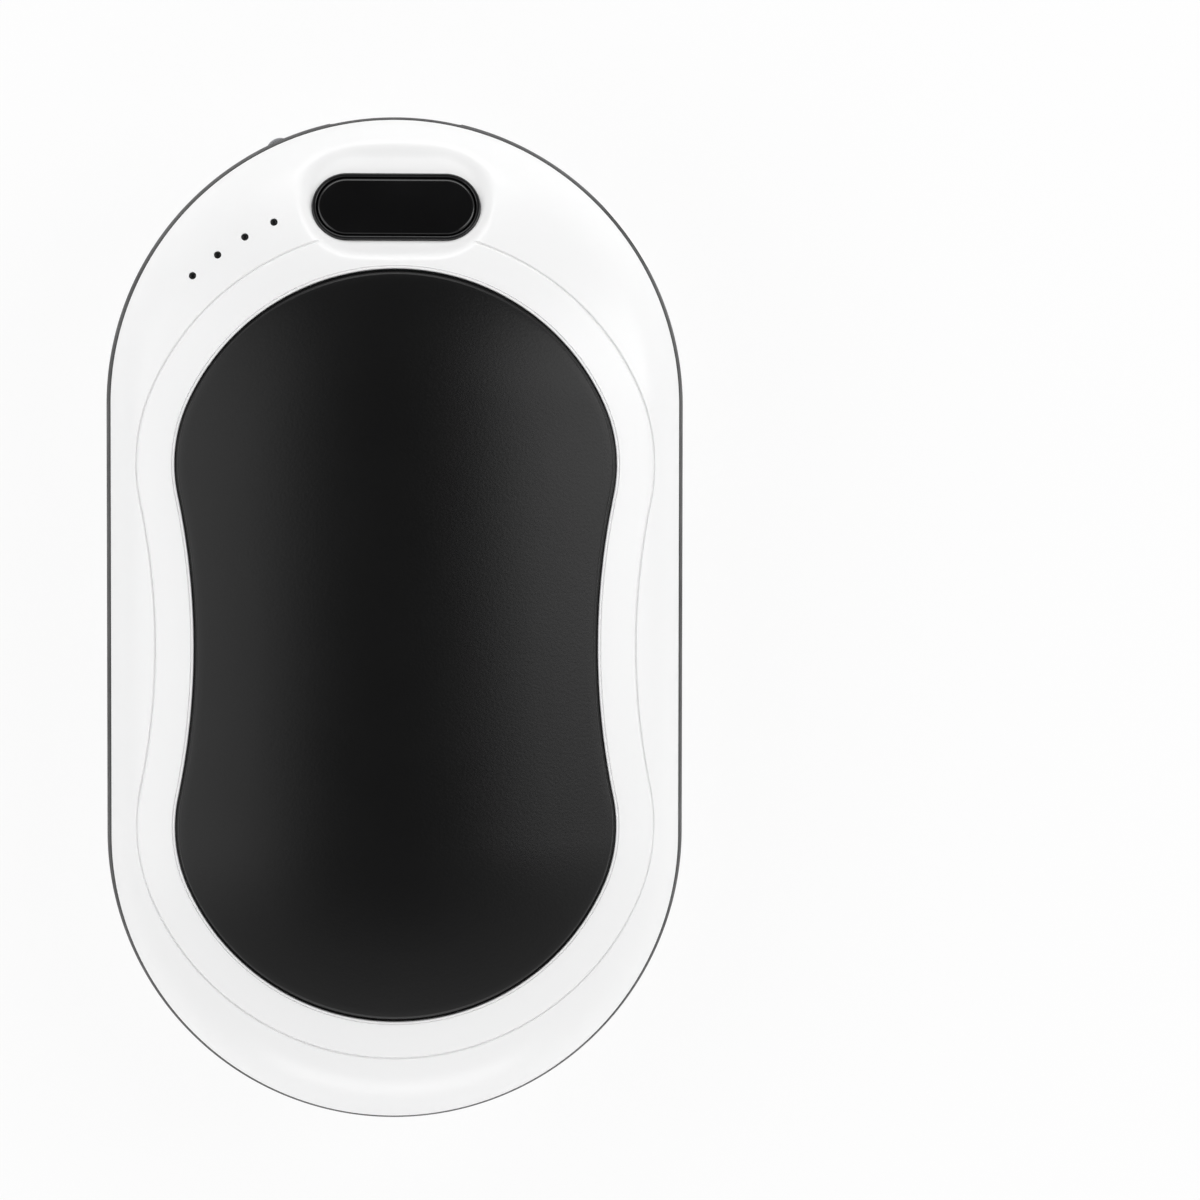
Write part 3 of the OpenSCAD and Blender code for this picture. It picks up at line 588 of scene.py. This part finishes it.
# The stem under the cap ends level over the switch's plunger
plunger_top = board_top + switch_h + plunger_h
stem_top = level(circle(stem_r, 40), -0.5)
stem_low = stem_top.copy()
stem_low[:, 2] = (plunger_top + switch_gap - button_z + stem_low[:, 1] * sin_t) / cos_t
new_object("power_button_cap", join_parts([cap, capped_part([stem_low, stem_top])]), "power_button",
           ["power_button"], "button_black", 35, on_button)

outer_side = [(0.0, -surround_foot_d), (0.0, -0.24), (0.02, -0.17), (0.07, -0.12),
              (0.13, -surround_top_d)]
ring_steps = outer_side + [(surround_wall - inset, z) for inset, z in outer_side[::-1]]
new_object("button_surround_ring", loops_part(pill_loops(ring_steps, button_l, button_w)),
           "housing", ["button_surround"], "surround_black", 40, on_button)

# Light guide: a post with a rounded end in each hole, and a comb that joins the posts
comb_z = board_top + led_h + 2 * slip
guide_parts = []
for x, y in light_places:
    z = float(crown_z(axis_r(x, y)))
    post = [(light_r, comb_z - slip)]
    post += [(light_r * share, z - sunk)
             for share, sunk in ((1.0, 0.14), (0.9, 0.09), (0.6, 0.05), (0.25, 0.03))]
    guide_parts.append(lathe_part(post, 32, moved(x, y)))
comb_in, comb_out = light_ring_r - comb_w / 2, light_ring_r + comb_w / 2
a = np.linspace(light_turns[0] - comb_over, light_turns[-1] + comb_over, 24)
comb_edges = [np.stack([-r * np.sin(a), light_ring_y + r * np.cos(a), np.full(len(a), z)], 1)
              for r, z in ((comb_in, comb_z), (comb_out, comb_z),
                           (comb_out, comb_z + comb_t), (comb_in, comb_z + comb_t))]
guide_parts.append(capped_part(np.stack(comb_edges, 1)))
new_object("indicator_light_guide_posts", join_parts(guide_parts), "housing",
           ["indicator_light_guide"], "light_guide", 40)

# Torch: a clear lamp with a domed end and two legs
dome_at = band_r + torch_proud - torch_r
rim_at = band_in_r - torch_rim_in
rim_r = torch_r + torch_rim_w
leg_at = rim_at - torch_leg_out
profile = [(rim_r, rim_at), (rim_r, rim_at + torch_rim_t), (torch_r, rim_at + torch_rim_t)]
profile += [(torch_r * math.cos(a), dome_at + torch_r * math.sin(a))
            for a in np.radians(np.linspace(0, 88, 16))]
torch_parts = [along_y(lathe_part(profile, 64))]
for x in (-torch_leg_x, torch_leg_x):
    out_leg = [(torch_leg_r, leg_at), (torch_leg_r, rim_at + 0.2)]
    down_leg = [(torch_leg_r, -0.2), (torch_leg_r, board_z)]
    torch_parts.append(along_y(lathe_part(out_leg, 20, moved(x, 0))))
    torch_parts.append(lathe_part(down_leg, 20, moved(x, leg_at)))
new_object("torch_lamp", join_parts(torch_parts), "housing", ["torch_led"], "lamp", 35,
           turned(torch_angle))


# Materials

def add_node(tree, kind, inputs=None, **settings):
    """A new node; a socket among the inputs is linked, and any other value is set."""
    node = tree.nodes.new(kind)
    for key, value in settings.items():
        setattr(node, key, value)
    for key, value in (inputs or {}).items():
        if isinstance(value, bpy.types.NodeSocket):
            tree.links.new(value, node.inputs[key])
        else:
            node.inputs[key].default_value = value
    return node


finish = {}


def material(name, colours, rough, scale, bump=0.0, bump_scale=3000.0, metallic=0.0, specular=0.5,
             transmission=0.0):
    """A finish whose colour and roughness wander a little, with a fine grain."""
    m = bpy.data.materials.new(name)
    m.use_nodes = True
    tree = m.node_tree
    bsdf = tree.nodes["Principled BSDF"]
    where = add_node(tree, "ShaderNodeTexCoord").outputs["Object"]

    def noise(noise_scale, detail):
        inputs = {"Vector": where, "Scale": noise_scale, "Detail": detail}
        return add_node(tree, "ShaderNodeTexNoise", inputs).outputs["Fac"]

    ramp = add_node(tree, "ShaderNodeValToRGB", {"Fac": noise(scale, 3.0)})
    for element, position, colour in zip(ramp.color_ramp.elements, (0.3, 0.7), colours):
        element.position, element.color = position, (*colour, 1)
    tree.links.new(ramp.outputs["Color"], bsdf.inputs["Base Color"])
    span = add_node(tree, "ShaderNodeMapRange", {
        "Value": noise(scale * 2.3, 6.0), "From Min": 0.3, "From Max": 0.7,
        "To Min": rough[0], "To Max": rough[1]})
    tree.links.new(span.outputs["Result"], bsdf.inputs["Roughness"])
    if bump:
        grain = add_node(tree, "ShaderNodeBump", {
            "Strength": bump, "Distance": 0.00003, "Height": noise(bump_scale, 2.0)})
        tree.links.new(grain.outputs["Normal"], bsdf.inputs["Normal"])
    bsdf.inputs["Metallic"].default_value = metallic
    bsdf.inputs["Specular IOR Level"].default_value = specular
    bsdf.inputs["Transmission Weight"].default_value = transmission
    bsdf.inputs["IOR"].default_value = 1.5
    finish[name] = m
    return m


# Two colours, least and most roughness, noise per metre, then the grain's strength and scale.
# The roughness of a slot stays on one side of 0.27, where the denoiser changes how it sees it.
material("shell_white", ((0.862, 0.862, 0.864), (0.874, 0.874, 0.874)), (0.28, 0.32), 30,
         0.06, 5200)
material("band_black", ((0.004, 0.004, 0.0042), (0.006, 0.006, 0.0063)), (0.32, 0.40), 70,
         0.08, 4200, specular=0.1)
material("plate_dark", ((0.002, 0.002, 0.0021), (0.0028, 0.0028, 0.003)), (0.33, 0.35), 50,
         0.35, 3600, specular=0.3)
material("film", ((0.62, 0.27, 0.05), (0.74, 0.36, 0.08)), (0.28, 0.38), 120)
material("foam", ((0.03, 0.03, 0.032), (0.06, 0.06, 0.064)), (0.8, 0.95), 900, 0.6, 2500)
material("inner_plastic", ((0.5, 0.5, 0.48), (0.58, 0.58, 0.56)), (0.45, 0.6), 80, 0.1)
material("cell_wrap", ((0.03, 0.10, 0.36), (0.04, 0.13, 0.42)), (0.28, 0.36), 90, 0.08)
material("nickel", ((0.6, 0.59, 0.56), (0.68, 0.67, 0.64)), (0.28, 0.4), 200, 0.1, 4000,
         metallic=1.0)
material("lead_red", ((0.5, 0.02, 0.02), (0.6, 0.03, 0.03)), (0.4, 0.5), 150)
material("lead_white", ((0.74, 0.74, 0.72), (0.8, 0.8, 0.78)), (0.4, 0.5), 150)
material("sensor", ((0.03, 0.14, 0.06), (0.05, 0.2, 0.08)), (0.4, 0.5), 300)
material("board", ((0.015, 0.15, 0.05), (0.025, 0.2, 0.07)), (0.35, 0.45), 500, 0.15, 3000)
material("chip_black", ((0.02, 0.02, 0.021), (0.035, 0.035, 0.037)), (0.5, 0.65), 400, 0.2, 4000)
material("button_black", ((0.003, 0.003, 0.0032), (0.0045, 0.0045, 0.0047)), (0.08, 0.16), 90, 0.03,
         3800)
material("surround_black", ((0.006, 0.006, 0.0063), (0.009, 0.009, 0.0095)), (0.16, 0.24), 90, 0.05,
         3800)
material("led_yellow", ((0.7, 0.6, 0.22), (0.8, 0.7, 0.3)), (0.28, 0.36), 400)
material("light_guide", ((0.004, 0.004, 0.0042), (0.007, 0.007, 0.0073)), (0.14, 0.22), 900,
         specular=0.25)
material("lamp", ((0.50, 0.52, 0.55), (0.58, 0.6, 0.63)), (0.06, 0.12), 200, transmission=0.75)
material("socket_metal", ((0.58, 0.58, 0.57), (0.68, 0.68, 0.67)), (0.28, 0.36), 260, 0.12, 5000,
         metallic=1.0)
material("tongue_black", ((0.012, 0.012, 0.012), (0.02, 0.02, 0.02)), (0.45, 0.55), 300, 0.1)
material("contact_gold", ((0.78, 0.56, 0.22), (0.86, 0.66, 0.3)), (0.18, 0.26), 500, metallic=1.0)
material("screw_steel", ((0.24, 0.24, 0.25), (0.34, 0.34, 0.35)), (0.3, 0.42), 500, 0.2, 5000,
         metallic=1.0)

slots = {s["node"]: s["material_slot"] for s in frame["record"]["subparts"]}
for name, ob in frame["nodes"].items():
    ob.data.materials.clear()
    ob.data.materials.append(finish[slots[name]])
for ob in bpy.data.objects:
    if ob.type == "MESH" and ob.get("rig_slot"):
        ob.data.materials.clear()
        ob.data.materials.append(finish[ob["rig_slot"]])

# Floor: white paper that keeps the shadow; the camera sees it mostly as plain white
half_size = 4.0
corners = [(x * half_size, y * half_size, 0) for x, y in ((-1, -1), (1, -1), (1, 1), (-1, 1))]
floor_mesh = bpy.data.meshes.new("floor")
floor_mesh.from_pydata(corners, [], [(0, 1, 2, 3)])
floor = bpy.data.objects.new("floor", floor_mesh)
bpy.context.scene.collection.objects.link(floor)
paper = material("floor_white", ((0.88, 0.88, 0.88), (0.9, 0.9, 0.9)), (0.85, 0.95), 4,
                 specular=0.1)
tree = paper.node_tree
path = add_node(tree, "ShaderNodeLightPath")
seen = add_node(tree, "ShaderNodeMath", {
    0: path.outputs["Is Camera Ray"], 1: path.outputs["Is Transmission Ray"]}, operation="MAXIMUM")
white_share = add_node(tree, "ShaderNodeMath", {0: seen.outputs[0], 1: 0.88}, operation="MULTIPLY")
white = add_node(tree, "ShaderNodeEmission", {"Strength": 1.0})
lit = tree.nodes["Principled BSDF"]
mix = add_node(tree, "ShaderNodeMixShader", {
    "Fac": white_share.outputs[0], 1: lit.outputs[0], 2: white.outputs[0]})
tree.links.new(mix.outputs[0], tree.nodes["Material Output"].inputs["Surface"])
floor_mesh.materials.append(paper)

# World: pale all round, with a dark patch overhead that leans towards the button's end and that
# the plates reflect. The camera sees plain white instead.
world = bpy.data.worlds.new("studio")
bpy.context.scene.world = world
world.use_nodes = True
tree = world.node_tree
patch_lean = math.radians(14)
where = add_node(tree, "ShaderNodeTexCoord")
lean = add_node(tree, "ShaderNodeVectorMath", {
    0: where.outputs["Generated"], 1: (0, math.sin(patch_lean), math.cos(patch_lean))},
    operation="DOT_PRODUCT")
ramp = add_node(tree, "ShaderNodeValToRGB", {"Fac": lean.outputs["Value"]})
low, top = ramp.color_ramp.elements
low.position, low.color = 0.0, (0.84, 0.84, 0.84, 1)
top.position, top.color = 0.86, (0.045, 0.045, 0.045, 1)
ramp.color_ramp.elements.new(0.5).color = (0.9, 0.9, 0.9, 1)
studio = tree.nodes["Background"]
tree.links.new(ramp.outputs["Color"], studio.inputs["Color"])
studio.inputs["Strength"].default_value = 0.98
path = add_node(tree, "ShaderNodeLightPath")
white = add_node(tree, "ShaderNodeBackground", {"Color": (1, 1, 1, 1)})
mix = add_node(tree, "ShaderNodeMixShader", {
    "Fac": path.outputs["Is Camera Ray"], 1: studio.outputs[0], 2: white.outputs[0]})
tree.links.new(mix.outputs[0], tree.nodes["World Output"].inputs["Surface"])


def lamp(name, at, w, h, power):
    """A soft box that faces the part."""
    light = bpy.data.lights.new(name, "AREA")
    light.shape, light.size, light.size_y, light.energy = "RECTANGLE", w, h, power
    ob = bpy.data.objects.new(name, light)
    ob.location = at
    to_part = Vector((0, 0, 0.015)) - Vector(at)
    ob.rotation_euler = to_part.to_track_quat("-Z", "Y").to_euler()
    bpy.context.scene.collection.objects.link(ob)


lamp("left_box", (-0.53, 0.05, 0.43), 0.5, 0.8, 1.6)
lamp("right_box", (0.50, 0.12, 0.46), 0.30, 0.7, 1.8)
lamp("top_box", (0.0, 0.75, 0.42), 0.8, 0.35, 2.5)
lamp("low_box", (0.0, -0.8, 0.20), 0.8, 0.3, 1.7)

# Camera: fitted, without a shift, to how the part lies in the photograph
camera_at = (-2.177, 16.493, 419.235)
cam_data = bpy.data.cameras.new("camera")
cam_data.sensor_width = 36.0
cam_data.lens = 123.1
cam_data.clip_start, cam_data.clip_end = 0.01, 20
cam = bpy.data.objects.new("camera", cam_data)
cam.location = (Vector(camera_at) + Vector(place)) * MM
cam.rotation_euler = (-0.03497, -0.05491, 0.00185)
bpy.context.scene.collection.objects.link(cam)
bpy.context.scene.camera = cam

bpy.context.scene.view_settings.view_transform = "Standard"

bpy.context.view_layer.update()
